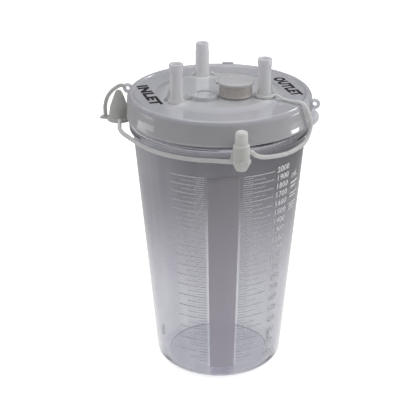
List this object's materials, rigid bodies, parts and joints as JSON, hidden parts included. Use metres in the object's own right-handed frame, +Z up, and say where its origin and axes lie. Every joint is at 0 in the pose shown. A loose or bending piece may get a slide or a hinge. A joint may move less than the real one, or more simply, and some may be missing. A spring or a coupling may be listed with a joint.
{
  "type": "suction collection canister",
  "caption": "Clear tapered suction canister with a press-fit ported lid, a float shut-off valve and tethered caps.",
  "frame": {"origin": "centre of the jar's flat base, on the plane it stands on", "axes": "+Z up along the jar's axis, +X towards the vacuum port's side, -Y towards the write-on strip"},
  "size_m": [0.1763, 0.1616, 0.2671],
  "materials": {
    "clear_plastic": "clear polished polystyrene with a faint lilac tint",
    "milky_plastic": "translucent milky polyethylene, glossy moulded",
    "natural_plastic": "natural translucent soft polyethylene, satin",
    "frosted_strip": "frosted write-on film, satin",
    "seal_rubber": "soft grey elastomer, matt",
    "filter_media": "white porous hydrophobic membrane, matt",
    "float_plastic": "light moulded float, satin"
  },
  "bodies": {
    "jar": {"canister": "clear_plastic", "write_on_strip": "frosted_strip"},
    "lid": {"lid_shell": "milky_plastic", "lid_seal": "seal_rubber", "patient_port": "milky_plastic", "tandem_port": "milky_plastic", "vacuum_port": "milky_plastic", "inlet_deflector": "milky_plastic", "filter_housing": "milky_plastic", "filter_disc": "filter_media", "filter_support": "milky_plastic", "valve_seat": "seal_rubber", "float_cage": "milky_plastic", "front_tether": "natural_plastic", "vacuum_tether": "natural_plastic", "tether_collar": "natural_plastic"},
    "float": {"float": "float_plastic"},
    "pour_cap": {"pour_port_cap": "milky_plastic", "cap_liner": "seal_rubber"},
    "cone_cap": {"patient_cap": "natural_plastic", "patient_cap_loop": "natural_plastic"},
    "plug": {"vacuum_cap": "natural_plastic"}
  },
  "joints": [
    {"name": "lid_lift", "type": "slide", "parent": "jar", "child": "lid", "axis": [0, 0, 1], "range_m": [0, 0.08]},
    {"name": "float_rise", "type": "slide", "parent": "lid", "child": "float", "axis": [0, 0, 1], "range_m": [0, 0.0085]},
    {"name": "pour_cap_pull", "type": "slide", "parent": "lid", "child": "pour_cap", "axis": [0, 0, 1], "range_m": [0, 0.025]},
    {"name": "cone_cap_swing", "type": "hinge", "parent": "lid", "child": "cone_cap", "pos_m": [-0.07409, 0.01944, 0.2305], "axis": [0.2538, 0.9673, 0], "range_deg": [0, 60]},
    {"name": "plug_tip", "type": "hinge", "parent": "lid", "child": "plug", "pos_m": [0.01649, -0.08032, 0.205], "axis": [0.9796, 0.2011, 0], "range_deg": [0, 75]}
  ]
}
